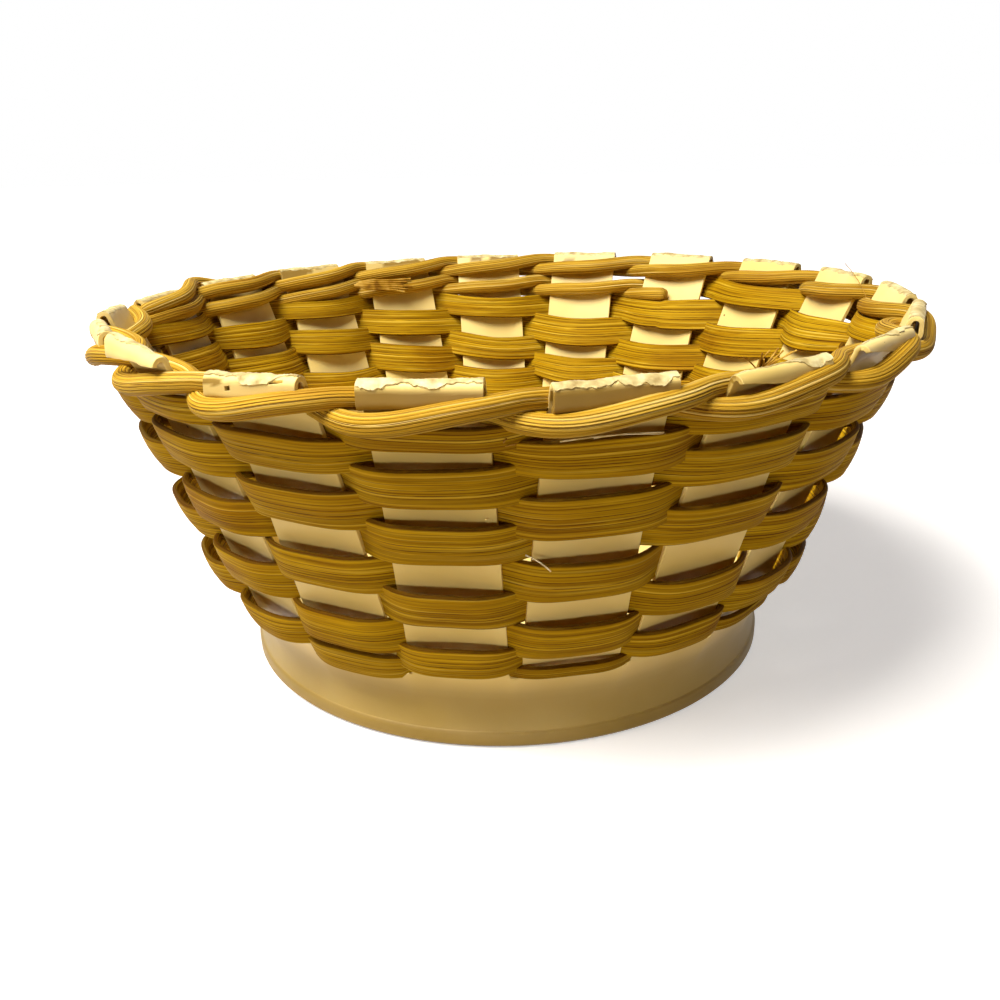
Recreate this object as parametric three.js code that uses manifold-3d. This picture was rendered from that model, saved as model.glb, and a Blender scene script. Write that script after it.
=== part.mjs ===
// Round bread basket: flat rattan woven over and under the upright strips of one moulded plastic
// frame, with a twined reed border under the rolled strip tops.
// Lengths are millimetres, angles are degrees unless a name says turns or strips.
// Z is up, the foot stands on Z = 0 and the photographed front faces -Y.

import * as THREE from 'three';
import Module from 'manifold-3d';
import { mergeVertices } from 'three/addons/utils/BufferGeometryUtils.js';

const wasm = await Module();
wasm.setup();

// Fit between pieces that touch
const clearance = 0.35;

// Foot ring, floor and lower wall of the moulded frame, whole all round up to where the slits start
const footRadius = 82.3;
const footWall = 1.6;
const slitStart = 21;
const beadHeight = 4.3;
const beadProud = 0.8;
const footWaist = 0.7;
const floorHeight = 14;
const floorThickness = 2;

// Upright strips, slit from the same moulding: an odd number, so that each row of weaving alternates
const stripPairs = 9;
const stripCount = 2 * stripPairs + 1;
const stripThickness = 1.2;
const slitWidth = 1.6;
const frameHeight = 108;
const firstStripAngle = -136.2;

// Side line of the strips: a straight slope over the foot, and a lip that flares out
const wallSlope = 0.36;
const lipFlare = 3;
const lipPower = 5;

// Strip tops, softened and rolled outwards into small hollow rolls
const rollDiameter = 3.4;
const rollWall = 0.9;
const rollTurn = 255;

// Strips lean a little to either side, as waves round the basket: size in degrees, phase in degrees
const leanWaves = [
  { size: 0.8, phase: 28 },
  { size: 0.75, phase: -96 },
  { size: 0.7, phase: 16 },
];

// Flat rattan weaver
const weaverWidth = 9.6;
const weaverThickness = 1.8;
const weaverBulge = 3.4;
const rowPitch = 7.8;
const firstRowHeight = 25.8;
const rowCrowd = 3.4;
const weaverCount = 5;
const rimRowStrips = 11;
const endShare = 1 / 3;

// The rows were beaten down harder at the back, so they dip there, most about two thirds up
const backDip = 11;
const backStrip = 11;
const dipNarrowness = 4;
const dipRise = 2.5;
const dipTurns = 0.4;

// Room up the wall for the last turn of weaving, squeezed in under the border
const rimRowWidth = 5;

// Border of two round reeds
const reedDiameter = 4.6;
const reedSqueeze = 0.7;
const reedBulge = 0.6;
const borderLap = 5;
const borderClimb = 3;

// How finely curves are drawn
const facetsPerStrip = 3;
const reedSides = 6;
const wallSteps = 7;
const skirtSteps = 2;
const rollSteps = 7;
const slopeProbe = 0.5;
const stationShare = 0.4;
const slitShare = 0.5;
const endReach = 0.25;
const weaverJoint = 0.02;
const stripBaseShare = 2 / 3;
const wallStepPower = 3 / 2;
const frontStrip = 2;

const plastic = new THREE.MeshStandardMaterial({ color: 0xd9c583, roughness: 0.5, metalness: 0 });
const rattan = new THREE.MeshStandardMaterial({ color: 0xa88432, roughness: 0.65, metalness: 0 });
const reed = new THREE.MeshStandardMaterial({ color: 0xc99a3c, roughness: 0.6, metalness: 0 });

// Measures that follow from the sizes above

const radians = THREE.MathUtils.degToRad;
const stripPitchAngle = 360 / stripCount;
const stripFootRadius = footRadius - footWall / 2;
const slitPitch = 2 * stripFootRadius * Math.tan(radians(stripPitchAngle / 2));
const stripWidth = slitPitch - slitWidth;

// Radius of the strips' middle surface at a height
function wallRadius(height) {
  const rise = height - floorHeight;
  const lip = lipFlare * (rise / (frameHeight - floorHeight)) ** lipPower;
  return stripFootRadius + wallSlope * rise + lip;
}

// Outward normal of the side line, as radial and upward shares
function wallNormal(height) {
  const run = wallRadius(height + slopeProbe) - wallRadius(height - slopeProbe);
  const slope = run / (2 * slopeProbe);
  const length = Math.hypot(1, slope);
  return { out: 1 / length, up: -slope / length };
}

// Share of the sideways lean that a strip has at a height: none at the foot, all at the top
function leanAngle(strip, height) {
  const share = (height - floorHeight) / (frameHeight - floorHeight);
  let lean = 0;
  leanWaves.forEach((wave, index) => {
    const turn = (index + 1) * strip * stripPitchAngle + wave.phase;
    lean += wave.size * Math.cos(radians(turn));
  });
  return share * lean;
}

// Direction of a place round the basket, counted in strips
function azimuth(strip, height) {
  return radians(firstStripAngle + strip * stripPitchAngle + leanAngle(strip, height));
}

// The strips are flat, so between their middles the wall stands out a little, most at the slits
function facetRadius(strip, height) {
  const aside = (strip - Math.round(strip)) * stripPitchAngle;
  return wallRadius(height) / Math.cos(radians(aside));
}

// Half of a strip's width, counted in strips
function stripEdge(height) {
  return THREE.MathUtils.radToDeg(Math.atan(stripWidth / 2 / wallRadius(height))) / stripPitchAngle;
}

// Closed solid from a row of rings with equal numbers of points, wound alike round the path
function loft(rings) {
  const sides = rings[0].length;
  const positions = rings.flat().flatMap((point) => point.toArray());
  const index = [];
  for (let ring = 0; ring < rings.length - 1; ring += 1) {
    for (let side = 0; side < sides; side += 1) {
      const next = (side + 1) % sides;
      const low = ring * sides;
      const high = low + sides;
      index.push(low + side, high + side, high + next);
      index.push(low + side, high + next, low + next);
    }
  }
  const last = (rings.length - 1) * sides;
  for (let side = 1; side < sides - 1; side += 1) {
    index.push(0, side, side + 1);
    index.push(last, last + side + 1, last + side);
  }
  const geometry = new THREE.BufferGeometry();
  geometry.setAttribute('position', new THREE.Float32BufferAttribute(positions, 3));
  geometry.setIndex(index);
  return geometry;
}

// A strand is a row of stations, level with the wall at their height: place in strips, height,
// distance off the strips' middle surface, and the size of the section across and up the wall
function strandGeometry(stations, outline) {
  const centres = stations.map((station) => {
    const outward = station.offset / wallNormal(station.height).out;
    const radius = facetRadius(station.strip, station.height) + outward;
    const angle = azimuth(station.strip, station.height);
    const up = station.height + station.lift;
    return new THREE.Vector3(radius * Math.cos(angle), radius * Math.sin(angle), up);
  });
  const rings = stations.map((station, place) => {
    const before = centres[Math.max(place - 1, 0)];
    const after = centres[Math.min(place + 1, centres.length - 1)];
    const along = after.clone().sub(before).normalize();
    const normal = wallNormal(station.height);
    const angle = azimuth(station.strip, station.height);
    const upWall = new THREE.Vector3(
      -normal.up * Math.cos(angle),
      -normal.up * Math.sin(angle),
      normal.out,
    );
    const across = along.clone().cross(upWall).normalize();
    const rise = across.clone().cross(along).normalize();
    return outline(station).map(([thick, wide]) => centres[place].clone()
      .addScaledVector(across, thick)
      .addScaledVector(rise, wide));
  });
  return loft(rings);
}

// Rectangular section of a flat strand
function flatOutline(station) {
  const thick = weaverThickness / 2;
  const wide = station.width / 2;
  return [[-thick, -wide], [thick, -wide], [thick, wide], [-thick, wide]];
}

// Many-sided section of a round reed, flat on its top and bottom
function reedOutline(station) {
  const points = [];
  for (let side = 0; side < reedSides; side += 1) {
    const angle = 2 * Math.PI * side / reedSides;
    const flatHalf = Math.sin(Math.PI / 3);
    points.push([
      reedDiameter / 2 * Math.cos(angle),
      station.width / 2 * Math.sin(angle) / flatHalf,
    ]);
  }
  return points;
}

// Rows of weaving: one helix from the foot to the rim

const reedCrossing = reedDiameter * reedSqueeze;
const borderDrop = reedCrossing * 2 + clearance;
const borderHeight = frameHeight - rollDiameter - clearance - reedCrossing;
const rimRowDrop = reedCrossing + clearance + rimRowWidth / 2;
const lastRowHeight = borderHeight - rimRowDrop;
const rowTurns = Math.round((lastRowHeight - firstRowHeight) / rowPitch);

// The last turn of weaving ends at the back, where the border starts inside the same strip
const weaverEndStrip = rowTurns * stripCount + backStrip - 1;
const borderStart = weaverEndStrip - stripCount;
const borderEnd = borderStart + stripCount + borderLap;

// Height of the middle of the pair of reeds: low over its start, and up to the rim after the lap
function borderMiddle(strip) {
  const climbed = (strip - borderStart - borderLap - endReach) / borderClimb;
  const share = THREE.MathUtils.clamp(climbed, 0, 1);
  return borderHeight - borderDrop * (1 - share);
}

// Middle height of the weaving at a place counted in strips, as it was beaten down
function beatenHeight(strip) {
  const share = (strip - frontStrip) / stripCount / rowTurns;
  const climb = (lastRowHeight - firstRowHeight) * share;
  const crowd = rowCrowd * Math.sin(2 * Math.PI * share);
  const aside = radians((strip - backStrip) * stripPitchAngle);
  const atBack = ((1 + Math.cos(aside)) / 2) ** dipNarrowness;
  const dip = backDip * Math.sin(2 * Math.PI * dipTurns * Math.max(share, 0) ** dipRise);
  return firstRowHeight + climb - crowd - dip * atBack;
}

// The border presses the turn under it down
function rowHeight(strip) {
  if (strip < borderStart - endReach) {
    return beatenHeight(strip);
  }
  return Math.min(beatenHeight(strip), borderMiddle(strip) - rimRowDrop);
}

// Height that a strand may have where another row or the border crosses it in a slit
function crossingWidth(strip) {
  const toLast = rowHeight(strip) - rowHeight(strip - stripCount);
  const toNext = rowHeight(strip + stripCount) - rowHeight(strip);
  const above = strip < borderStart ? toNext : rimRowWidth;
  return Math.min(above, toLast, rimRowWidth) - 2 * clearance;
}

// Odd places lie outside their strip and even places inside
function sideOf(strip) {
  return Math.abs(Math.round(strip) % 2) === 1 ? 1 : -1;
}

// Width of the weaver where it passes a strip: its own, or what the border leaves it
function passWidth(strip) {
  if (strip < borderStart - endReach) {
    return weaverWidth;
  }
  const room = borderMiddle(strip) - reedDiameter / 2 - clearance - rowHeight(strip);
  return Math.min(weaverWidth, 2 * room);
}

const edgeOffset = stripThickness / 2 + clearance + weaverThickness / 2;
const middleOffset = stripThickness / 2 + weaverThickness / 2 + weaverBulge;

// Stations of a flat strand from one place to another: slit, strip edge, middle, edge, slit
function weaverStations(from, to) {
  const stations = [];
  function station(strip, offset, wide) {
    if (strip < from || strip > to) {
      return;
    }
    stations.push({ strip, height: rowHeight(strip), offset, lift: 0, width: wide });
  }
  for (let strip = Math.round(from); strip <= Math.round(to); strip += 1) {
    const edge = THREE.MathUtils.lerp(1 / 2, stripEdge(rowHeight(strip)), slitShare);
    const side = sideOf(strip);
    const narrow = crossingWidth(strip);
    station(strip - 1 / 2, 0, crossingWidth(strip - 1 / 2));
    station(strip - edge, side * edgeOffset, narrow);
    const aside = edge * stationShare;
    station(strip - aside, side * middleOffset, passWidth(strip - aside));
    station(strip + aside, side * middleOffset, passWidth(strip + aside));
    station(strip + edge, side * edgeOffset, narrow);
  }
  station(Math.round(to) + 1 / 2, 0, crossingWidth(to));
  return stations;
}

// One reed of the pair; it is inside at its first strip and then outside and inside by turns
function reedStations(start, end) {
  const edgeReach = stripThickness / 2 + 2 * clearance + reedDiameter / 2;
  const middleReach = edgeReach + reedBulge;
  const stations = [];
  function station(strip, offset, wide) {
    if (strip < start - endReach || strip > end + endReach) {
      return;
    }
    const lift = -(reedCrossing + clearance) / 2 * Math.sin(Math.PI * (strip - start));
    const height = borderMiddle(strip);
    stations.push({ strip, height, offset, lift, width: wide - clearance });
  }
  for (let strip = start; strip <= end; strip += 1) {
    const edge = THREE.MathUtils.lerp(1 / 2, stripEdge(borderMiddle(strip)), slitShare);
    const side = (strip - start) % 2 === 0 ? -1 : 1;
    station(strip - 1 / 2, 0, reedCrossing);
    station(strip - edge, side * edgeReach, reedCrossing);
    station(strip, side * middleReach, reedDiameter);
    station(strip + edge, side * edgeReach, reedCrossing);
  }
  return stations;
}

// Moulded frame

// Foot ring with its bead, and the floor inside it
function footGeometry() {
  const inner = footRadius - footWall;
  const beadTop = beadHeight + beadProud;
  const floorUnder = floorHeight - floorThickness;
  const foot = [
    [0, floorUnder],
    [inner, floorUnder],
    [inner, 0],
    [footRadius + beadProud, 0],
    [footRadius + beadProud, beadHeight],
    [footRadius - footWaist / 2, beadTop],
    [footRadius - footWaist, (beadTop + floorHeight) / 2],
  ];
  const outer = [];
  const inside = [];
  for (let step = 0; step <= skirtSteps; step += 1) {
    const height = THREE.MathUtils.lerp(floorHeight, slitStart, step / skirtSteps);
    const radius = (wallRadius(height) + wallRadius(height) / Math.cos(radians(stripPitchAngle / 2))) / 2;
    outer.push([radius + footWall / 2, height]);
    inside.unshift([radius - footWall / 2, height]);
  }
  const profile = [...foot, ...outer, ...inside, [0, floorHeight]]
    .map(([radius, height]) => new THREE.Vector2(radius, height));
  const firstSlit = 90 + firstStripAngle + stripPitchAngle / 2;
  const geometry = new THREE.LatheGeometry(profile, stripCount * facetsPerStrip, radians(firstSlit));
  geometry.rotateX(Math.PI / 2);
  return geometry;
}

// Side profile of a strip with its rolled top, radius along X and height along Y
function stripProfile() {
  const rollRadius = rollDiameter / 2;
  const rollCentre = frameHeight - rollRadius;
  const half = stripThickness / 2;
  const base = THREE.MathUtils.lerp(floorHeight, slitStart, stripBaseShare);
  const rollMiddle = wallRadius(rollCentre) - half + rollRadius;
  const faceAt = (height, side) => {
    const normal = wallNormal(height);
    return new THREE.Vector2(
      wallRadius(height) + side * half * normal.out,
      height + side * half * normal.up,
    );
  };
  const rollPoint = (radius, degrees) => new THREE.Vector2(
    rollMiddle + radius * Math.cos(radians(degrees)),
    rollCentre + radius * Math.sin(radians(degrees)),
  );
  const heights = [];
  for (let step = 0; step <= wallSteps; step += 1) {
    const share = (step / wallSteps) ** wallStepPower;
    heights.push(THREE.MathUtils.lerp(base, rollCentre - rollDiameter, share));
  }
  const inside = heights.map((height) => faceAt(height, -1));
  const outside = heights.map((height) => faceAt(height, 1)).reverse();
  const outerRoll = [];
  const innerRoll = [];
  for (let step = 0; step <= rollSteps; step += 1) {
    const degrees = 180 - rollTurn * step / rollSteps;
    outerRoll.push(rollPoint(rollRadius, degrees));
    innerRoll.push(rollPoint(rollRadius - rollWall, degrees));
  }
  return new THREE.Shape([...inside, ...outerRoll, ...innerRoll.reverse(), ...outside]);
}

// One strip, set upright at its place and leaning with height
function stripGeometry(strip) {
  const geometry = new THREE.ExtrudeGeometry(stripProfile(), {
    depth: stripWidth,
    bevelEnabled: false,
  });
  geometry.translate(0, 0, -stripWidth / 2);
  const points = geometry.getAttribute('position');
  const point = new THREE.Vector3();
  for (let index = 0; index < points.count; index += 1) {
    point.fromBufferAttribute(points, index);
    const angle = azimuth(strip, point.y);
    const aside = -point.z;
    points.setXYZ(
      index,
      point.x * Math.cos(angle) - aside * Math.sin(angle),
      point.x * Math.sin(angle) + aside * Math.cos(angle),
      point.y,
    );
  }
  return geometry;
}

// Closed mesh to a solid that can be joined
function toSolid(geometry) {
  geometry.deleteAttribute('normal');
  geometry.deleteAttribute('uv');
  const merged = mergeVertices(geometry);
  return new wasm.Manifold(new wasm.Mesh({
    numProp: 3,
    vertProperties: merged.getAttribute('position').array,
    triVerts: new Uint32Array(merged.getIndex().array),
  }));
}

function toGeometry(solid) {
  const mesh = solid.getMesh();
  const geometry = new THREE.BufferGeometry();
  geometry.setAttribute('position', new THREE.BufferAttribute(mesh.vertProperties, 3));
  geometry.setIndex(new THREE.BufferAttribute(mesh.triVerts, 1));
  return geometry;
}

function frameGeometry() {
  let frame = toSolid(footGeometry());
  for (let strip = 0; strip < stripCount; strip += 1) {
    frame = frame.add(toSolid(stripGeometry(strip)));
  }
  return toGeometry(frame);
}

const basket = new THREE.Group();

function addPiece(name, geometry, material) {
  const piece = new THREE.Mesh(geometry, material);
  piece.name = name;
  basket.add(piece);
}

addPiece('frame', frameGeometry(), plastic);

// Each weaver starts where the last one ended, inside an even strip, so the joints don't show
const rimRowStart = weaverEndStrip - rimRowStrips;

function weaverEnd(number) {
  if (number === weaverCount) {
    return rimRowStart;
  }
  return 2 * Math.round(rimRowStart * number / weaverCount / 2);
}

for (let number = 1; number <= weaverCount; number += 1) {
  const from = weaverEnd(number - 1) + weaverJoint;
  const to = weaverEnd(number) - weaverJoint;
  addPiece(`weaver_${number}`, strandGeometry(weaverStations(from, to), flatOutline), rattan);
}
const rimRow = weaverStations(rimRowStart + weaverJoint, weaverEndStrip + endShare);
addPiece('rim_weaver', strandGeometry(rimRow, flatOutline), rattan);

addPiece('border_reed_1', strandGeometry(reedStations(borderStart, borderEnd), reedOutline), reed);
addPiece(
  'border_reed_2',
  strandGeometry(reedStations(borderStart + 1, borderEnd - 1), reedOutline),
  reed,
);

export default basket;
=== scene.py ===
import math
import random

import bpy
import numpy as np
from mathutils import Matrix, Vector


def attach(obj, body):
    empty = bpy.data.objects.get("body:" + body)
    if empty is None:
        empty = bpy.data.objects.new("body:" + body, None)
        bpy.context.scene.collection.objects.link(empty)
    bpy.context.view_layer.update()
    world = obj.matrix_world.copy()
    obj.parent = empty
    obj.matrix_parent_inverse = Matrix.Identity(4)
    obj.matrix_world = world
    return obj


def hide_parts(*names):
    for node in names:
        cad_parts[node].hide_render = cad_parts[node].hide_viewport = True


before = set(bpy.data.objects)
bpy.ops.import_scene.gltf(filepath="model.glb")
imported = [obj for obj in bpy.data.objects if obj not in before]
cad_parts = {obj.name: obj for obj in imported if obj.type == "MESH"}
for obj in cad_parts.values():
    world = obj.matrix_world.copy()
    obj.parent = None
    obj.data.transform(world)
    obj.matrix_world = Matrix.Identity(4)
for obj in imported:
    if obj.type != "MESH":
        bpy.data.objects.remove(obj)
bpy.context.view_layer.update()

# Round bread basket: flat rattan woven over and under the upright strips of one moulded frame,
# with a twined border of two round reeds under the rolled strip tops.

# Shape work is in millimetres, with Z up and the photographed side towards -Y.
# A place round the basket is counted in strips, and the count goes on from turn to turn.
mm = 0.001

# Moulded frame: an odd number of strips, so that each row of weaving alternates with the last
strip_count = 19
strip_pitch = 360 / strip_count
first_strip = -136.2
strip_width = 25.6
shell_thickness = 1.2
foot_radius = 81.5
floor_height = 14.0
slit_start = 21.0
rim_height = 108.0
wall_rise = rim_height - floor_height
wall_slope = 0.36
lip_flare = 3.0
lip_power = 5
slope_probe = 0.5

# The strips lean to either side in waves round the basket: size and phase in degrees
lean_waves = ((0.8, 28), (0.75, -96), (0.7, 16))

# The rim was pressed inwards at one place on the left, most at the top
press_place = 18.2
press_breadth = 1.7
press_depth = 5.2
press_power = 1.6

# The flat rattan is one helix: odd places lie outside their strip, even places inside
row_turns = 9
first_row = 25.8
last_row = 96.4
row_crowd = 3.4
front_strip = 2

# The first length starts as a sliver, which comes up behind the edge of the foot
sliver_start = 1.5
sliver_end = 7
sliver_width = 0.42
sliver_reach = 3.2

# The rows dip at the back, most about two thirds up
back_strip = 11
back_dip = 11.0
dip_narrowness = 4
dip_turns = 0.4
dip_rise = 2.5

# The border starts low inside a back strip, laps over its own start and climbs to the rim
border_lap = 5
border_start = (row_turns - 1) * strip_count + back_strip - 1
border_end = border_start + strip_count + border_lap
border_height = 101.9
border_drop = 6.6
climb_start = 5.25
climb_length = 3
rim_row_drop = 5.3
reed_radius = 2.6

# Where the rows were beaten higher or lower by hand: place in strips, millimetres
beaten_by_hand = (
    (0, 0.2), (3.4, 0.1), (5, 2.2), (7, 0), (19, -0.7), (23, -0.7), (39, -0.3), (43, -2.0), (48, -0.5),
    (59, 2.2), (61, -0.8), (70, 0), (79, 0.8), (88, 0.6), (90, 2.0), (97, 1.6), (103, 0), (106, -1.3),
    (108, 1.9), (110, 2.4), (117, -1.1), (124, -0.7), (126, -0.6), (128, 1.5), (130, 2.0), (135, -0.4),
    (142, 0), (144, 1.4), (146, 1.4), (148, -0.7), (155, -0.2), (160, -0.4), (162, 1.2), (175, 0),
)

# Where the border was pushed up or down by hand
border_by_hand = (
    (161, -2.8), (163, -2.0), (164, -0.8), (165, 0.4), (166.5, 1.4), (167.4, 3.0), (168.4, 2.8),
    (169.5, 1.2), (171, 0), (185.5, 0), (186.3, 2.2), (187.4, 2.2),
)

# Width of the flat rattan along the helix
weaver_widths = (
    (0, 8.8), (20, 9.5), (40, 10.4), (60, 10.8), (122, 11.0), (124, 10.4), (126, 8.6), (128, 10.2),
    (140, 10.6), (144, 11.6), (147, 10.2), (155, 10.6), (158, 11.0), (160.5, 12.0), (162, 11.2),
    (164, 8.4), (166, 8.8), (170, 10.2),
)

# Sizes and rates of the waves that make up a smooth wandering
ripple_sizes = np.array([1.0, 0.7, 0.45, 0.3, 0.18])
ripple_rates = np.array([1.0, 1.73, 2.91, 4.37, 6.9])
ripple_reach = 1.6


def wall_radius(height):
    """Radius of the middle surface of the wall at the middle of a strip."""
    rise = np.maximum(height - floor_height, -floor_height)
    return foot_radius + wall_slope * rise + lip_flare * np.maximum(rise / wall_rise, 0) ** lip_power


def wall_normal(height):
    """Outward and upward share of the wall's normal."""
    slope = wall_radius(height + slope_probe) - wall_radius(height - slope_probe)
    length = np.hypot(1, slope)
    return 1 / length, -slope / length


def squeezed(place, height):
    """How far the pressed rim moved outwards, so below nought on the left."""
    apart = (place - press_place + strip_count / 2) % strip_count - strip_count / 2
    share = (height - floor_height) / wall_rise
    return -press_depth * np.exp(-((apart / press_breadth) ** 2)) * np.clip(share, 0, 1) ** press_power


def direction(place, height):
    """Direction of a place round the basket in radians; the strips lean a little with height."""
    share = (height - floor_height) / wall_rise
    lean = sum(
        size * np.cos(np.radians((index + 1) * place * strip_pitch + phase))
        for index, (size, phase) in enumerate(lean_waves)
    )
    return np.radians(first_strip + place * strip_pitch + share * lean)


def ripple(values, seed, scale):
    """Smooth repeatable wandering, mostly between -1 and 1, along a row of numbers."""
    rng = np.random.default_rng(seed)
    phases = rng.uniform(0, 2 * math.pi, len(ripple_sizes))
    waves = zip(ripple_sizes, scale * ripple_rates, phases)
    return sum(size * np.sin(rate * values + phase) for size, rate, phase in waves) / ripple_reach


def progress(value, start, span):
    """How far a value has come over a span: 0 before it and 1 after it."""
    return min(max((value - start) / span, 0), 1)


def from_table(place, table):
    return np.interp(place, [row[0] for row in table], [row[1] for row in table])


def border_middle(place):
    """Height of the middle of the pair of reeds."""
    climbed = np.clip((place - border_start - climb_start) / climb_length, 0, 1)
    return border_height - border_drop * (1 - climbed) + from_table(place, border_by_hand)


def row_height(place):
    """Height of the middle of the flat rattan; the border presses the turn under it down."""
    share = (place - front_strip) / strip_count / row_turns
    at_back = ((1 + np.cos(np.radians((place - back_strip) * strip_pitch))) / 2) ** dip_narrowness
    dip = back_dip * np.sin(2 * math.pi * dip_turns * np.maximum(share, 0) ** dip_rise)
    climb = (last_row - first_row) * share - row_crowd * np.sin(2 * math.pi * share)
    beaten = first_row + climb - dip * at_back + from_table(place, beaten_by_hand)
    return np.where(place < border_start, beaten, np.minimum(beaten, border_middle(place) - rim_row_drop))


def deselect():
    if bpy.context.object and bpy.context.object.mode != "OBJECT":
        bpy.ops.object.mode_set(mode="OBJECT")
    bpy.ops.object.select_all(action="DESELECT")


def make_active(piece):
    deselect()
    bpy.context.view_layer.objects.active = piece
    piece.select_set(True)


def apply_all(piece):
    """Works every modifier of a piece into its mesh."""
    make_active(piece)
    for modifier in list(piece.modifiers):
        bpy.ops.object.modifier_apply(modifier=modifier.name)


def settle(piece):
    """Puts the place, turn and size of a piece into its mesh."""
    make_active(piece)
    bpy.ops.object.transform_apply(location=True, rotation=True, scale=True)


def mesh_piece(name, points, faces, edges=()):
    mesh = bpy.data.meshes.new(name)
    mesh.from_pydata([tuple(point) for point in points], list(edges), faces)
    mesh.update()
    piece = bpy.data.objects.new(name, mesh)
    bpy.context.collection.objects.link(piece)
    return piece


def smooth(piece, angle):
    """Shades a piece smooth, except along edges sharper than this many degrees."""
    make_active(piece)
    bpy.ops.object.shade_smooth_by_angle(angle=math.radians(angle))


def soften_edges(piece, width, segments, angle):
    """Rounds the edges sharper than this many degrees."""
    edges = piece.modifiers.new("edges", "BEVEL")
    edges.width = width * mm
    edges.segments = segments
    edges.limit_method = "ANGLE"
    edges.angle_limit = math.radians(angle)


def thicken(piece, thickness, offset):
    """Gives a skin its thickness: on both sides with offset 0, inwards with offset -1."""
    wall = piece.modifiers.new("wall", "SOLIDIFY")
    wall.thickness = thickness * mm
    wall.offset = offset


def finish_piece(piece, material, slot, *nodes):
    """Gives a piece its material and body, and hides the CAD nodes that it stands for."""
    piece.data.materials.clear()
    piece.data.materials.append(material)
    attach(piece, "root")
    if nodes:
        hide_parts(*nodes)
    return piece


def linear(colour):
    """sRGB hex to linear red, green, blue and alpha."""
    channels = [int(colour[place:place + 2], 16) / 255 for place in (1, 3, 5)]
    return tuple(
        value / 12.92 if value <= 0.04045 else ((value + 0.055) / 1.055) ** 2.4
        for value in channels
    ) + (1.0,)


def add_node(tree, kind, inputs=None, stops=(), **settings):
    """Adds a node. inputs maps a socket to a value or to the output that feeds it, and stops are
    the places and colours of a colour ramp."""
    made = tree.nodes.new(kind)
    for key, value in settings.items():
        setattr(made, key, value)
    for key, value in (inputs or {}).items():
        if isinstance(value, bpy.types.NodeSocket):
            tree.links.new(value, made.inputs[key])
        else:
            made.inputs[key].default_value = value
    for _ in stops[2:]:
        made.color_ramp.elements.new(0.5)
    for index, (place, colour) in enumerate(stops):
        made.color_ramp.elements[index].position = place
        made.color_ramp.elements[index].color = linear(colour)
    return made


def new_material(name):
    material = bpy.data.materials.new(name)
    material.use_nodes = True
    return material, material.node_tree, material.node_tree.nodes["Principled BSDF"]


def moulded_polypropylene():
    # Cream polypropylene, injection moulded: an even waxy sheen with a little light passing
    # through it, ochre stains a few centimetres wide, rare brown specks, and painted shade that
    # darkens the rolled strip tops, the back strip tops and the foot towards brown. Pattern sizes are
    # millimetres.
    stain_size = 38.46
    speck_spacing = 10.526
    speck_share = 0.05
    bare_size = 16.67
    bare_share = 0.56
    mould_grain = 1.111
    sink_size = 9.091
    material, tree, shader = new_material("moulded_polypropylene")
    place = add_node(tree, "ShaderNodeTexCoord").outputs["Object"]
    stains = add_node(
        tree, "ShaderNodeTexNoise", {"Vector": place, "Scale": 1 / (stain_size * mm), "Detail": 3}
    )
    stained = add_node(
        tree, "ShaderNodeValToRGB", {"Fac": stains.outputs["Fac"]},
        ((0.3, "#E2C876"), (0.52, "#EED588"), (0.75, "#F4DF9C")),
    )
    cells = add_node(tree, "ShaderNodeTexVoronoi", {"Vector": place, "Scale": 1 / (speck_spacing * mm)})
    speck = add_node(
        tree, "ShaderNodeMath", {0: cells.outputs["Distance"], 1: speck_share}, operation="LESS_THAN"
    )
    region = add_node(
        tree, "ShaderNodeTexNoise", {"Vector": place, "Scale": 1 / (bare_size * mm), "Detail": 1}
    )
    here = add_node(
        tree, "ShaderNodeMath", {0: region.outputs["Fac"], 1: bare_share}, operation="GREATER_THAN"
    )
    specks = add_node(tree, "ShaderNodeMath", {0: speck.outputs[0], 1: here.outputs[0]}, operation="MULTIPLY")
    specked = add_node(
        tree, "ShaderNodeMix",
        {0: specks.outputs[0], 6: stained.outputs["Color"], 7: linear("#7E6028")}, data_type="RGBA",
    )
    # Painted shade: this attribute darkens the rolls and their hems, the back strip tops and the foot towards
    # brown
    painted_shade_and_tone = add_node(tree, "ShaderNodeAttribute", attribute_name="painted_shade_and_tone")
    body = add_node(
        tree, "ShaderNodeMix",
        {0: painted_shade_and_tone.outputs["Fac"], 6: specked.outputs[2], 7: linear("#80600F")}, data_type="RGBA",
    )
    tree.links.new(body.outputs[2], shader.inputs["Base Color"])
    fine = add_node(
        tree, "ShaderNodeTexNoise", {"Vector": place, "Scale": 1 / (mould_grain * mm), "Detail": 3}
    )
    wavy = add_node(
        tree, "ShaderNodeTexNoise", {"Vector": place, "Scale": 1 / (sink_size * mm), "Detail": 2}
    )
    heights = add_node(
        tree, "ShaderNodeMath", {0: fine.outputs["Fac"], 1: 0.1, 2: wavy.outputs["Fac"]},
        operation="MULTIPLY_ADD",
    )
    bump = add_node(
        tree, "ShaderNodeBump", {"Strength": 0.35, "Distance": 0.4 * mm, "Height": heights.outputs[0]}
    )
    tree.links.new(bump.outputs["Normal"], shader.inputs["Normal"])
    shader.inputs["Roughness"].default_value = 0.45
    shader.inputs["Specular IOR Level"].default_value = 0.3
    shader.inputs["IOR"].default_value = 1.49
    shader.inputs["Subsurface Weight"].default_value = 0.1
    shader.inputs["Subsurface Radius"].default_value = (1.0, 0.75, 0.4)
    shader.inputs["Subsurface Scale"].default_value = 2 * mm
    return material


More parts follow.
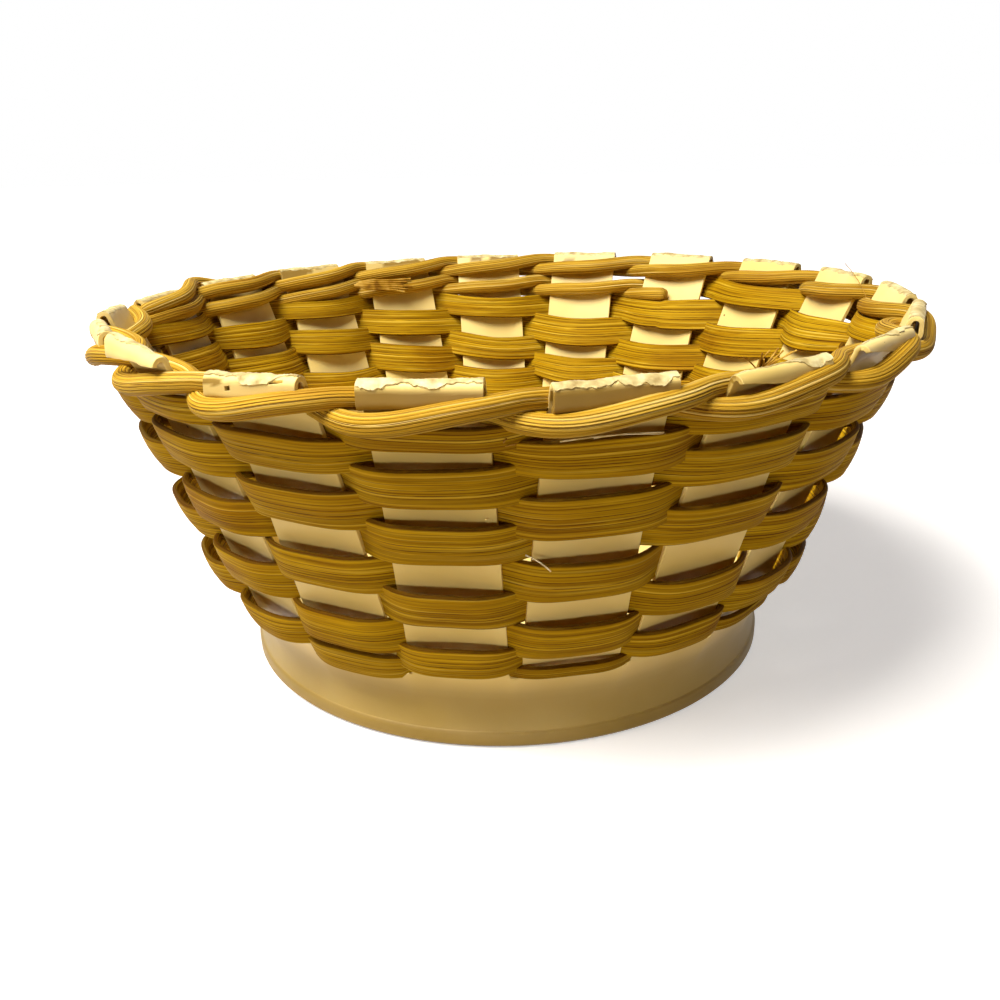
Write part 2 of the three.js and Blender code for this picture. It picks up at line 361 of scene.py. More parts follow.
def melted_polypropylene():
    # The crest of each rolled strip, where the skin melted, tore and set again: chalky cream and
    # rough, blotched over a few millimetres, with pits down to a few tenths of a millimetre
    blotch_size = 3.03
    material, tree, shader = new_material("melted_polypropylene_skin")
    place = add_node(tree, "ShaderNodeTexCoord").outputs["Object"]
    pits = add_node(
        tree, "ShaderNodeTexNoise", {"Vector": place, "Scale": 1 / (blotch_size * mm), "Detail": 4}
    )
    body = add_node(
        tree, "ShaderNodeValToRGB", {"Fac": pits.outputs["Fac"]},
        ((0.3, "#9C854C"), (0.5, "#C6B47A"), (0.7, "#DACE9E")),
    )
    tree.links.new(body.outputs["Color"], shader.inputs["Base Color"])
    bump = add_node(
        tree, "ShaderNodeBump", {"Strength": 0.8, "Distance": 0.4 * mm, "Height": pits.outputs["Fac"]}
    )
    tree.links.new(bump.outputs["Normal"], shader.inputs["Normal"])
    shader.inputs["Roughness"].default_value = 0.55
    shader.inputs["IOR"].default_value = 1.49
    return material


def cane(name, tones, line_colour, line_spacing, roughness):
    """Cane with long lines; its sizes are millimetres along and across the strand."""
    material, tree, shader = new_material(name)
    # U runs along the strand and V across it, one unit to 100 mm
    unit = 100
    on_strand = add_node(tree, "ShaderNodeUVMap", uv_map="along").outputs["UV"]
    fibre_length, fibre_width = 66.67, line_spacing / 0.9
    patch_length, patch_width = 41.67, 14.286
    wander_length, wander_width = 45.45, 11.11
    break_length, break_width = 11.11, 1.4286
    strong_line, faint_line = 0.17, 0.12
    faint_spacing = 0.45 * line_spacing

    def streaks(length, width, detail):
        stretched = add_node(
            tree, "ShaderNodeMapping", {"Vector": on_strand, "Scale": (unit / length, unit / width, 1)}
        )
        made = add_node(
            tree, "ShaderNodeTexNoise", {"Vector": stretched.outputs[0], "Scale": 1, "Detail": detail}
        )
        return made.outputs["Fac"]

    def lines(spacing, thickness, seed):
        """Thin lines along the strand that wander a little, each of its own place and strength."""
        wander = add_node(
            tree, "ShaderNodeMath", {0: streaks(wander_length, wander_width, 1), 1: 0.9},
            operation="MULTIPLY",
        )
        girth = add_node(tree, "ShaderNodeSeparateXYZ", {0: on_strand})
        spread = add_node(
            tree, "ShaderNodeMath", {0: girth.outputs["Y"], 1: unit / spacing, 2: wander.outputs[0]},
            operation="MULTIPLY_ADD",
        )
        cell = add_node(tree, "ShaderNodeMath", {0: spread.outputs[0]}, operation="FLOOR")
        within = add_node(tree, "ShaderNodeMath", {0: spread.outputs[0]}, operation="FRACT")
        numbered = add_node(tree, "ShaderNodeMath", {0: cell.outputs[0], 1: seed}, operation="ADD")
        own = add_node(
            tree, "ShaderNodeTexWhiteNoise", {"W": numbered.outputs[0]}, noise_dimensions="1D"
        )
        centre = add_node(tree, "ShaderNodeMapRange", {0: own.outputs["Value"], 3: 0.25, 4: 0.75})
        centred = add_node(
            tree, "ShaderNodeMath", {0: within.outputs[0], 1: centre.outputs[0]}, operation="SUBTRACT"
        )
        apart = add_node(tree, "ShaderNodeMath", {0: centred.outputs[0]}, operation="ABSOLUTE")
        half = thickness / spacing / 2
        line = add_node(
            tree, "ShaderNodeMapRange", {0: apart.outputs[0], 1: half * 1.6, 2: half * 0.5}, clamp=True
        )
        tint = add_node(tree, "ShaderNodeSeparateColor", {0: own.outputs["Color"]})
        strength = add_node(
            tree, "ShaderNodeMapRange", {0: tint.outputs["Green"], 1: 0.25, 2: 0.95, 3: 0.05, 4: 1.0},
            clamp=True,
        )
        made = add_node(
            tree, "ShaderNodeMath", {0: line.outputs[0], 1: strength.outputs[0]}, operation="MULTIPLY"
        )
        return made.outputs[0]

    fibre_tone = add_node(tree, "ShaderNodeValToRGB", {"Fac": streaks(fibre_length, fibre_width, 5)}, tones)
    patch_tone = add_node(
        tree, "ShaderNodeValToRGB", {"Fac": streaks(patch_length, patch_width, 2)},
        ((0.3, "#CFB264"), (0.5, "#FFFFFF"), (0.72, "#FFFAE8")),
    )
    patched = add_node(
        tree, "ShaderNodeMix", {0: 0.6, 6: fibre_tone.outputs["Color"], 7: patch_tone.outputs["Color"]},
        data_type="RGBA", blend_type="MULTIPLY",
    )
    # The groove attribute darkens the cane in its grooves, and along the flat strand's edges it carries
    # painted shade
    depth = add_node(tree, "ShaderNodeAttribute", attribute_name="groove")
    grooved = add_node(
        tree, "ShaderNodeMix",
        {0: depth.outputs["Fac"], 6: patched.outputs[2], 7: linear(line_colour)}, data_type="RGBA",
    )
    strong = lines(line_spacing, strong_line, 0.5)
    faint = lines(faint_spacing, faint_line, 40.5)
    # The strong lines break off here and there
    fading = add_node(
        tree, "ShaderNodeMapRange",
        {0: streaks(break_length, break_width, 2), 1: 0.36, 2: 0.52, 3: 0.0, 4: 1.0}, clamp=True,
    )
    broken = add_node(tree, "ShaderNodeMath", {0: strong, 1: fading.outputs[0]}, operation="MULTIPLY")
    weak = add_node(tree, "ShaderNodeMath", {0: faint, 1: 0.6}, operation="MULTIPLY")
    thinly_lined = add_node(
        tree, "ShaderNodeMix",
        {0: weak.outputs[0], 6: grooved.outputs[2], 7: linear(line_colour)}, data_type="RGBA",
    )
    lined = add_node(
        tree, "ShaderNodeMix",
        {0: broken.outputs[0], 6: thinly_lined.outputs[2], 7: linear(line_colour)}, data_type="RGBA",
    )
    tree.links.new(lined.outputs[2], shader.inputs["Base Color"])
    cut = add_node(tree, "ShaderNodeMath", {0: broken.outputs[0], 1: weak.outputs[0]}, operation="ADD")
    relief = add_node(
        tree, "ShaderNodeMath", {0: streaks(fibre_length, fibre_width, 3), 1: cut.outputs[0]},
        operation="SUBTRACT",
    )
    bump = add_node(
        tree, "ShaderNodeBump", {"Strength": 0.6, "Distance": 0.25 * mm, "Height": relief.outputs[0]}
    )
    tree.links.new(bump.outputs["Normal"], shader.inputs["Normal"])
    shader.inputs["Roughness"].default_value = roughness
    shader.inputs["Specular IOR Level"].default_value = 0.06
    return material


def split_flat_rattan():
    # Flat rattan, split and shaved: old straw gold with long dark lines about a millimetre apart,
    # patches of darker and paler cane a few centimetres long, a dry satin face
    tones = ((0.26, "#7C5602"), (0.42, "#A98108"), (0.56, "#BE9814"), (0.72, "#DCBC48"))
    return cane("split_flat_rattan", tones, "#421C04", line_spacing=0.8, roughness=0.65)


def drawn_round_core():
    # Round rattan core, drawn through a die: paler gold, deep dark grooves between rounded ribs
    tones = ((0.26, "#8E6A12"), (0.42, "#B88F24"), (0.56, "#CAA53A"), (0.72, "#E8D084"))
    return cane("drawn_round_rattan_core", tones, "#4E2406", line_spacing=0.8, roughness=0.6)


def loose_fibre(name, tones):
    # Split ends of cane: dry straw, a little browner in places where they were bent
    bend_size = 5.556
    material, tree, shader = new_material(name)
    place = add_node(tree, "ShaderNodeTexCoord").outputs["Object"]
    bent = add_node(tree, "ShaderNodeTexNoise", {"Vector": place, "Scale": 1 / (bend_size * mm), "Detail": 2})
    tone = add_node(tree, "ShaderNodeValToRGB", {"Fac": bent.outputs["Fac"]}, tones)
    tree.links.new(tone.outputs["Color"], shader.inputs["Base Color"])
    shader.inputs["Roughness"].default_value = 0.6
    shader.inputs["Specular IOR Level"].default_value = 0.15
    return material


polypropylene = moulded_polypropylene()
melted_skin = melted_polypropylene()
flat_rattan = split_flat_rattan()
round_core = drawn_round_core()
gold_fibre = loose_fibre("split_cane_fibre", ((0.38, "#7E560E"), (0.5, "#AC8226"), (0.66, "#CAA650")))
pale_fibre = loose_fibre("bleached_cane_fibre", ((0.38, "#C8AC6C"), (0.5, "#EADBB0"), (0.66, "#F4ECD0")))

# Moulded frame: each strip has its own columns of points, and one more in the middle of the slit
faces_across = 16
columns = faces_across + 2

# Foot and low wall as radius and height, up to where the slits start
foot_profile = [
    (80.9, 0.95), (81.9, 0.65), (82.3, 1.2), (82.3, 3.6), (82.1, 4.1), (81.65, 4.4), (81.4, 5.2),
    (81.2, 7.5), (81.1, 10.0), (81.3, 12.5), (81.8, 14.8), (82.6, 17.2), (83.5, 19.4),
]
wall_heights = [
    slit_start, 23.5, 27, 31, 36, 41, 46, 51, 56, 61, 66, 71, 76, 81, 86, 90, 94, 97.5, 100.5, 103, 105,
]

# The foot is round, and the wall goes over to flat strips from this height
flat_start = 12
flat_span = 9

# Rolled strip top: a half turn outwards, a straight face and a hem turned back in
roll_centre = 106.4
roll_radius = 1.5
roll_face = 2.3
roll_hem = 1.25
hem_turn = 120
roll_rows = 18
slit_row = len(foot_profile)
roll_row = slit_row + len(wall_heights)

# Only the top of a strip rises and leans
top_start = 96
rise_span = 9
lean_span = 10

# How much higher than the rest the top of a strip stands at its left and right edge
top_rises = {
    0: (3.2, 0.8), 1: (-1.3, 0.2), 2: (0.1, 0.6), 3: (-0.8, -0.1), 4: (-2.0, -0.8), 5: (-1.2, -0.6),
    8: (-0.2, -0.4), 9: (-0.5, -0.9), 10: (-1.2, -1.0), 11: (-1.6, -1.8), 12: (-2.6, -2.2),
    13: (-2.6, -2.6), 14: (-2.4, -2.2), 15: (-2.6, -2.4), 16: (-2.8, -2.4), 17: (-1.6, 0.2),
    18: (0.4, 1.2),
}
usual_rise = (-0.4, 0.0)

# How far the tops of some strips lean outwards
top_leans = {0: 2.8, 18: 1.0}

# Share of a whole roll that the top of a strip made at its left and right edge
roll_shares = {
    0: (0.8, 0.5), 1: (1.0, 0.72), 2: (1.0, 0.9), 4: (0.44, 0.9), 5: (0.42, 0.85),
    17: (0.75, 0.95), 18: (0.6, 0.95),
}
usual_roll = (1.0, 0.95)

# The roll of one strip has a hole and a tear: strip, column and row of each face that is missing
torn_faces = {(1, 4, roll_row + 9), (1, 4, roll_row + 10)}
torn_faces |= {(1, column, roll_row + 8) for column in range(9, 14)}


def top_rise(strip, share):
    left, right = top_rises.get(strip, usual_rise)
    return left + (right - left) * share + 0.18 * ripple(share * 7, 80 + strip, 1.1)


def roll_point(strip, share, way, proud=0.0):
    """Outward and upward place on the roll; way goes from 0 at the strip to 1 at the hem."""
    left, right = roll_shares.get(strip, usual_roll)
    way = way * (left + (right - left) * share)
    over = math.pi * roll_radius
    hem = math.radians(hem_turn) * roll_hem
    length = way * (over + roll_face + hem)
    if length < over:
        turn = math.pi - length / roll_radius
        outward = roll_radius + (roll_radius + proud) * math.cos(turn)
        upward = roll_centre + (roll_radius + proud) * math.sin(turn)
    elif length < over + roll_face:
        outward = 2 * roll_radius + proud
        upward = roll_centre - (length - over)
    else:
        turn = (length - over - roll_face) / roll_hem
        outward = 2 * roll_radius - roll_hem + (roll_hem + proud) * math.cos(turn)
        upward = roll_centre - roll_face - (roll_hem + proud) * math.sin(turn)
    swell = 0.12 * ripple(share * 6 + strip, 120 + strip, 0.9) * min(way * 3, 1)
    return outward + swell, upward


def strip_place(strip, share, outward, height, lifted):
    """A point of a strip from its share across, its distance off the axis and its height."""
    width_in_strips = 0.78
    warp_size, warp_start, warp_span = 0.25, 20, 50
    height_up = height + lifted * top_rise(strip, share)
    warp = warp_size * ripple(share * 4 + height_up / 20, 200 + strip, 0.8)
    warp *= progress(height_up, warp_start, warp_span)
    angle = float(direction(float(strip), min(height, roll_centre)))
    aside = (share - 0.5) * strip_width
    outward += float(squeezed(strip + (share - 0.5) * width_in_strips, height))
    outward += top_leans.get(strip, 0) * progress(height_up, top_start, lean_span)
    return Vector((
        (outward + warp) * math.cos(angle) - aside * math.sin(angle),
        (outward + warp) * math.sin(angle) + aside * math.cos(angle),
        height_up,
    ))


def frame_point(strip, column, row):
    """Where a point of the moulded shell's middle surface lies."""
    share = min(column, faces_across) / faces_across
    if row >= roll_row:
        out, height = roll_point(strip, share, (row - roll_row + 1) / roll_rows)
        outward = float(wall_radius(roll_centre)) + out
    elif row >= slit_row:
        height = wall_heights[row - slit_row]
        outward = float(wall_radius(height))
    else:
        outward, height = foot_profile[row]
    round_share = 1 - progress(height, flat_start, flat_span) if row < slit_row else 0
    if column > faces_across:
        around = float(direction(float(strip), height) + direction(strip + 1.0, height)) / 2
        corner = outward / math.cos(math.radians(strip_pitch / 2))
        flat = Vector((corner * math.cos(around), corner * math.sin(around), height))
    else:
        flat = strip_place(strip, share, outward, height, progress(height, top_start, rise_span))
        around = math.atan2(flat.y, flat.x)
    ring = Vector((outward * math.cos(around), outward * math.sin(around), flat.z))
    return flat.lerp(ring, round_share) * mm


def spun_shell(name, profile, steps):
    """Spins a side profile of radius and height round the axis."""
    piece = mesh_piece(
        name,
        [(radius * mm, 0, height * mm) for radius, height in profile],
        [],
        [(row, row + 1) for row in range(len(profile) - 1)],
    )
    make_active(piece)
    bpy.ops.object.mode_set(mode="EDIT")
    bpy.ops.mesh.select_all(action="SELECT")
    bpy.ops.mesh.spin(
        steps=steps, angle=2 * math.pi, center=(0, 0, 0), axis=(0, 0, 1), use_auto_merge=True
    )
    bpy.ops.mesh.select_all(action="SELECT")
    bpy.ops.mesh.remove_doubles(threshold=1e-6)
    bpy.ops.object.mode_set(mode="OBJECT")
    return piece


def set_out(piece, profile, steps):
    """Moves the points of the spun shell to their strips, and returns strip, column and row of each."""
    places = []
    for vertex in piece.data.vertices:
        x, y, z = vertex.co / mm
        step = round(math.degrees(math.atan2(y, x)) % 360 / 360 * steps) % steps
        radius = math.hypot(x, y)
        row = min(
            range(len(profile)),
            key=lambda index: abs(profile[index][0] - radius) + abs(profile[index][1] - z),
        )
        places.append((step // columns, step % columns, row))
    for vertex, place in zip(piece.data.vertices, places):
        vertex.co = frame_point(*place)
    return places


def cut_slits(piece, places):
    """Takes out the faces between the strips and the torn ones, and points the rest outwards."""
    cut = []
    for face in piece.data.polygons:
        corners = [places[index] for index in face.vertices]
        low = min(corners, key=lambda corner: (corner[2], corner[1]))
        in_slit = any(column > faces_across for _, column, _ in corners)
        cut.append((in_slit and low[2] > slit_row) or (low in torn_faces and not in_slit))
    make_active(piece)
    bpy.ops.object.mode_set(mode="EDIT")
    bpy.ops.mesh.select_mode(type="FACE")
    bpy.ops.mesh.select_all(action="DESELECT")
    bpy.ops.object.mode_set(mode="OBJECT")
    for face, gone in zip(piece.data.polygons, cut):
        face.select = gone
    bpy.ops.object.mode_set(mode="EDIT")
    bpy.ops.mesh.delete(type="FACE")
    bpy.ops.mesh.select_all(action="SELECT")
    bpy.ops.mesh.normals_make_consistent(inside=False)
    bpy.ops.object.mode_set(mode="OBJECT")
    on_wall = piece.data.polygons[len(piece.data.polygons) // 3]
    if on_wall.normal.dot(Vector((on_wall.center.x, on_wall.center.y, 0))) < 0:
        piece.data.flip_normals()


def paint_frame_shade_and_tone(piece):
    """Paints shade into the frame's colour: the rolls' lower faces and hems, the back strip tops, and the
    foot, where it is partly the darker tone of thicker plastic; darker still at the bead.
    """
    darkest_roll_shade, roll_shade, darker_roll_strips = 0.93, 0.4, (2, 3)
    roll_from, roll_depth = 101.5, 1.6
    crest_height, crest_fade = 107.7, 1.3
    hem_shade, inside_from, inside_to, inside_depth = 0.9, 103, 106.2, 0.3
    shaded, shaded_from, shaded_strips = 0.3, 97, (13, 14, 15, 16, 17)
    foot_shade_and_tone, tone_end, tone_fade = 0.58, 23, 7
    bead_tone, bead_top = 0.17, 4.6
    painted_shade_and_tone = piece.data.attributes.new("painted_shade_and_tone", "FLOAT", "POINT")
    for index, vertex in enumerate(piece.data.vertices):
        x, y, z = vertex.co / mm
        strip = round((math.degrees(math.atan2(y, x)) - first_strip) / strip_pitch)
        angle = float(direction(float(strip), z))
        off_wall = x * math.cos(angle) + y * math.sin(angle) - float(wall_radius(min(z, roll_centre)))
        # Painted shade on the roll's face below the crest, darkest on two front strips
        if z > roll_from and off_wall > roll_depth:
            share = darkest_roll_shade if strip % strip_count in darker_roll_strips else roll_shade
            painted_shade_and_tone.data[index].value = share * progress(crest_height - z, 0, crest_fade)
        # Painted shade on the hem and on the strip under the roll
        elif inside_from < z < inside_to and off_wall > inside_depth:
            painted_shade_and_tone.data[index].value = hem_shade
        # Painted shade on the tops of the back strips on the left
        elif z > shaded_from and strip % strip_count in shaded_strips:
            painted_shade_and_tone.data[index].value = shaded
        # The foot: painted shade, partly the darker tone of thicker plastic, and darker at the bead
        elif z < slit_start:
            tone = foot_shade_and_tone * progress(tone_end - z, 0, tone_fade)
            painted_shade_and_tone.data[index].value = tone + (bead_tone if z < bead_top else 0)


def model_frame():
    """The side profile is spun round the axis, set out into strips, slit, and thickened."""
    wall = [(float(wall_radius(height)), float(height)) for height in wall_heights]
    # The rows of the roll are spun out of the way, and only set_out gives them their place
    aside = 150.0
    roll = [(aside + row, aside + row) for row in range(roll_rows)]
    profile = foot_profile + wall + roll
    steps = strip_count * columns
    piece = spun_shell("moulded_frame", profile, steps)
    cut_slits(piece, set_out(piece, profile, steps))
    thicken(piece, shell_thickness, 0)
    soften_edges(piece, 0.2, 1, 50)
    apply_all(piece)
    smooth(piece, 35)
    paint_frame_shade_and_tone(piece)
    return piece


def model_floor():
    """Raised floor: a disc whose rings are inset, pushed down a little and softened."""
    radius = 80.9
    thickness = 2
    rim, step, middle, drop = 6, 1.2, 40, 0.5
    deselect()
    bpy.ops.mesh.primitive_cylinder_add(
        vertices=8 * strip_count, radius=radius * mm, depth=thickness * mm,
        location=(0, 0, (floor_height - thickness / 2) * mm), end_fill_type="NGON",
    )
    piece = bpy.context.object
    piece.name = "floor_disc"
    bpy.ops.object.mode_set(mode="EDIT")
    bpy.ops.mesh.select_mode(type="FACE")
    for inset, rise in ((rim, 0), (step, -drop), (middle, 0), (step, drop)):
        bpy.ops.mesh.select_all(action="DESELECT")
        bpy.ops.object.mode_set(mode="OBJECT")
        caps = [face for face in piece.data.polygons if face.normal.z > 0.9 and len(face.vertices) > 8]
        caps[0].select = True
        bpy.ops.object.mode_set(mode="EDIT")
        bpy.ops.mesh.inset(thickness=inset * mm, depth=rise * mm)
    bpy.ops.object.mode_set(mode="OBJECT")
    soften_edges(piece, 0.3, 2, 30)
    apply_all(piece)
    settle(piece)
    smooth(piece, 40)
    return piece


def model_crest(strip):
    """Torn skin along the crest of a roll, with a scalloped lower edge."""
    steps = 72
    rows = 9
    notches = 7
    skin_start, skin_end = 0.12, 0.40
    least_end, most_end = 0.3, 0.56
    thickness = 0.34
    lift = 0.06
    pits = 0.16
    curl = 0.12
    rng = np.random.default_rng(500 + strip)
    shares = np.linspace(0.005, 0.995, steps)
    # Way round the roll at which the skin ends and starts
    end = skin_end + 0.012 * ripple(shares * 60, 520 + strip, 1.0)
    for _ in range(notches):
        middle = rng.uniform(0, 1)
        wide = rng.uniform(0.05, 0.2)
        deep = rng.uniform(-0.07, 0.09)
        end += deep * np.sqrt(np.clip(1 - ((shares - middle) / wide) ** 2, 0, 1))
    end = np.clip(end, least_end, most_end)
    start = skin_start + 0.03 * ripple(shares * 16, 540 + strip, 1.0)
    points = []
    for step, share in enumerate(shares):
        for row in range(rows):
            way = start[step] + (end[step] - start[step]) * row / (rows - 1)
            proud = shell_thickness / 2 + lift + pits * rng.uniform(0, 1) * (0 < row)
            if row == rows - 1:
                proud += curl
            out, height = roll_point(strip, share, way, proud)
            outward = float(wall_radius(roll_centre)) + out
            points.append(strip_place(strip, share, outward, height, 1.0) * mm)
    faces = [
        (step * rows + row, (step + 1) * rows + row, (step + 1) * rows + row + 1, step * rows + row + 1)
        for step in range(steps - 1)
        for row in range(rows - 1)
    ]
    piece = mesh_piece(f"crest_skin_{strip}", points, faces)
    make_active(piece)
    on_top = piece.data.polygons[len(faces) // 2]
    if on_top.normal.z < 0:
        piece.data.flip_normals()
    thicken(piece, thickness, -1)
    apply_all(piece)
    smooth(piece, 60)
    return piece


def sweep(places, height, offset, lift, tilt, section):
    """Middle line of a strand along the weave, and the points of its section on each ring."""
    slit_swell = 0.0138
    out, up = wall_normal(height)
    # The strips are flat, so the wall stands out a little towards the slits
    aside = places - np.round(places)
    swell = 1 + slit_swell * (1 - np.cos(2 * math.pi * aside)) / 2
    radius = wall_radius(height) * swell + offset / out + squeezed(places, height)
    angle = direction(places, height)
    centres = np.stack([radius * np.cos(angle), radius * np.sin(angle), height + lift], -1)
    along = np.gradient(centres, axis=0)
    along /= np.linalg.norm(along, axis=1, keepdims=True)
    up_wall = np.stack([-up * np.cos(angle), -up * np.sin(angle), out], -1)
    over = np.cross(along, up_wall)
    over /= np.linalg.norm(over, axis=1, keepdims=True)
    rise = np.cross(over, along)
    turned_over = over * np.cos(tilt)[:, None] + rise * np.sin(tilt)[:, None]
    turned_rise = rise * np.cos(tilt)[:, None] - over * np.sin(tilt)[:, None]
    points = (
        centres[:, None, :]
        + section[:, :, 0:1] * turned_over[:, None, :]
        + section[:, :, 1:2] * turned_rise[:, None, :]
    ) * mm
    return centres, points


def unroll(mesh, name, centres, typical, ring_index, side_index):
    """UV map of a strand: U along it and V round it, one unit to 100 mm."""
    unit = 100
    lengths = np.concatenate([[0], np.cumsum(np.linalg.norm(np.diff(centres, axis=0), axis=1))])
    perimeter = np.linalg.norm(np.diff(typical, axis=0, append=typical[:1]), axis=1)
    girth = np.concatenate([[0], np.cumsum(perimeter)])
    layer = mesh.uv_layers.new(name="along")
    u = lengths / unit + random.Random(name).uniform(0, 20)
    v = girth / unit
    corner_u = np.stack([u[ring_index], u[ring_index + 1], u[ring_index + 1], u[ring_index]], -1)
    corner_v = np.stack([v[side_index], v[side_index], v[side_index + 1], v[side_index + 1]], -1)
    sides = np.stack([corner_u.reshape(-1), corner_v.reshape(-1)], -1)
    ends = np.zeros((2 * len(typical), 2))
    layer.data.foreach_set("uv", np.concatenate([sides, ends]).reshape(-1))


def strand(name, places, height, offset, lift, tilt, section, groove):
    """Sweeps a section along the weave. section is rings x sides x 2, groove rings x sides."""
    centres, points = sweep(places, height, offset, lift, tilt, section)
    rings, sides = section.shape[:2]
    ring_index, side_index = np.meshgrid(np.arange(rings - 1), np.arange(sides), indexing="ij")
    after = (side_index + 1) % sides
    low = ring_index * sides
    quads = np.stack([low + side_index, low + sides + side_index, low + sides + after, low + after], -1)
    faces = [tuple(quad) for quad in quads.reshape(-1, 4).tolist()]
    faces.append(tuple(range(sides)))
    faces.append(tuple(range(rings * sides - 1, (rings - 1) * sides - 1, -1)))
    piece = mesh_piece(name, points.reshape(-1, 3).tolist(), faces)
    mesh = piece.data
    unroll(mesh, name, centres, section[rings // 2], ring_index, side_index)
    depth = mesh.attributes.new("groove", "FLOAT", "POINT")
    depth.data.foreach_set("value", groove.reshape(-1).astype(np.float32))
    for polygon in mesh.polygons:
        polygon.use_smooth = True
    mesh.update()
    return piece


def swing(wave, sharpness):
    """A wave that stays out longer and passes through the slits faster."""
    return wave * (1 + sharpness) / np.sqrt(1 + (sharpness ** 2 + 2 * sharpness) * wave ** 2)


def flat_width(places, height, wave, seed):
    """Width of the flat rattan: its own on the strips, and what its neighbours leave in the slits."""
    rim_room = 6.4
    reed_overlap = 0.7
    slit_spread = 1.4
    least_width = 6.2
    most_share = 1.06
    narrowing = 0.7
    toward_last = height - row_height(places - strip_count)
    toward_next = row_height(places + strip_count) - height
    in_rows = places < border_start
    room = np.where(in_rows, (toward_next + toward_last) / 2, np.minimum(toward_last, rim_room))
    under_border = 2 * (border_middle(places) - reed_radius + reed_overlap - height)
    full = from_table(places, weaver_widths)
    full = np.where(in_rows, full, np.minimum(full, under_border))
    full = full * (1 + 0.045 * ripple(places, seed + 3, 0.7))
    full = np.where((places > sliver_start) & (places < sliver_end), sliver_width * full, full)
    slit_width = np.clip(room * slit_spread, least_width, most_share * full)
    return slit_width + (full - slit_width) * np.abs(wave) ** narrowing


def flat_strand(name, start, end, seed):
    """Flat rattan from one place to another, over and under the strips."""
    per_strip = 20
    half_thickness = 0.72
    middle_offset, usual_reach, sharpness = 0.5, 5.0, 0.35
    edge = 0.92
    edge_curl = 0.55
    rib_count, first_rib, rib_spacing = 5, -0.75, 0.36
    rib_width, rib_depth = 0.055, 0.16
    rib_tone, edge_shade = 0.4, 0.75
    places = np.linspace(start, end, int((end - start) * per_strip) + 1)
    wave = -np.cos(math.pi * places)
    height = row_height(places)
    width = flat_width(places, height, wave, seed)
    wandering = usual_reach + 0.45 * ripple(places, seed + 5, 0.9)
    reach = np.where(places < sliver_end, sliver_reach, wandering)
    offset = middle_offset + reach * swing(wave, sharpness)
    lift = 0.3 * ripple(places, seed + 7, 1.2)
    tilt = 0.07 * ripple(places, seed + 9, 0.8)
    # Section: two faces and two rounded edges, as shares of half the width and half the thickness
    face = np.linspace(-edge, edge, 25)
    bend = np.linspace(0, math.pi, 6)[1:-1]
    round_edge = 0.08 * np.sin(bend)
    wide = np.concatenate([face, edge + round_edge, face[::-1], -edge - round_edge])
    thick = np.concatenate([np.ones(len(face)), np.cos(bend), -np.ones(len(face)), -np.cos(bend)])
    # Broad shallow ribs along the faces, each wandering a little
    ribs = np.zeros((len(places), len(wide)))
    for number in range(rib_count):
        middle = first_rib + rib_spacing * number + 0.1 * ripple(places, seed * 31 + number, 0.35)
        strength = np.clip(0.55 + 0.5 * ripple(places, seed * 57 + number, 0.7), 0, 1)
        ribs += strength[:, None] * np.exp(-(((wide[None, :] - middle[:, None]) / rib_width) ** 2))
    ribs = np.clip(ribs, 0, 1) * (np.abs(thick) > 0.99)[None, :]
    half = width[:, None] / 2
    depth = half_thickness * thick[None, :] - rib_depth * ribs * np.sign(thick)[None, :]
    # The edges curl towards the strip that the rattan passes over
    cup = -edge_curl * wave[:, None] * (wide[None, :] ** 2) * (half / 5)
    section = np.stack([depth + cup, half * wide[None, :]], -1)
    # Painted shade: the rounded edges of the strand are darkened in colour
    shaded_edges = np.where(np.abs(wide) > edge + 0.01, edge_shade, 0)[None, :]
    groove = np.maximum(ribs * rib_tone, shaded_edges)
    return strand(name, places, height, offset, lift, tilt, section, groove)


def round_strand(name, start, end, phase, seed):
    """One reed of the pair; it twists past the other in each slit."""
    per_strip = 22
    rib_count, rib_depth = 19, 0.34
    sides = rib_count * 6
    middle_offset, usual_reach, sharpness = 1.1, 4.7, 0.45
    crossing_swing, outside_swing, inside_swing = 2.0, 0.5, 1.3
    crossing_lag = 0.09
    twist_per_strip = 0.12
    slit_girth = 0.93
    end_girth, taper = 0.55, 9
    flattened = 0.96
    groove_tone = 0.75
    places = np.linspace(start, end, int((end - start) * per_strip) + 1)
    wave = -np.cos(math.pi * (places - phase))
    height = border_middle(places)
    reach = usual_reach + 0.3 * ripple(places, seed + 1, 0.7)
    offset = middle_offset + reach * swing(wave, sharpness)
    height_swing = crossing_swing + np.where(wave > 0, outside_swing, inside_swing) * wave
    lift = -height_swing * np.sin(math.pi * (places - phase - crossing_lag))
    lift = lift + 0.2 * ripple(places, seed + 2, 1.1)
    turn = np.linspace(0, 2 * math.pi, sides, endpoint=False)
    twist = 0.9 * ripple(places, seed + 4, 0.25) + twist_per_strip * (places - start)
    rib = np.abs(np.cos(rib_count * turn / 2))
    groove = (1 - rib) ** 3
    strengths = np.random.default_rng(seed).uniform(0.45, 1.0, rib_count)
    strength = strengths[(np.round((rib_count * turn / math.pi - 1) / 2).astype(int)) % rib_count]
    grooves = strength[None, :] * groove[None, :] * (0.8 + 0.2 * ripple(places, seed + 8, 0.9))[:, None]
    girth = reed_radius * (1 + 0.03 * ripple(places, seed + 6, 0.6))
    girth = girth * (slit_girth + (1 - slit_girth) * np.abs(wave))
    # The ends taper over a few millimetres
    ends = np.minimum(places - start, end - places)
    girth = girth * np.clip(end_girth + ends * taper, 0, 1) ** 0.5
    radius = girth[:, None] - rib_depth * grooves
    across, up = flattened * radius * np.cos(turn)[None, :], radius * np.sin(turn)[None, :]
    section = np.stack([across, up], -1)
    return strand(name, places, height, offset, lift, twist, section, grooves * groove_tone)


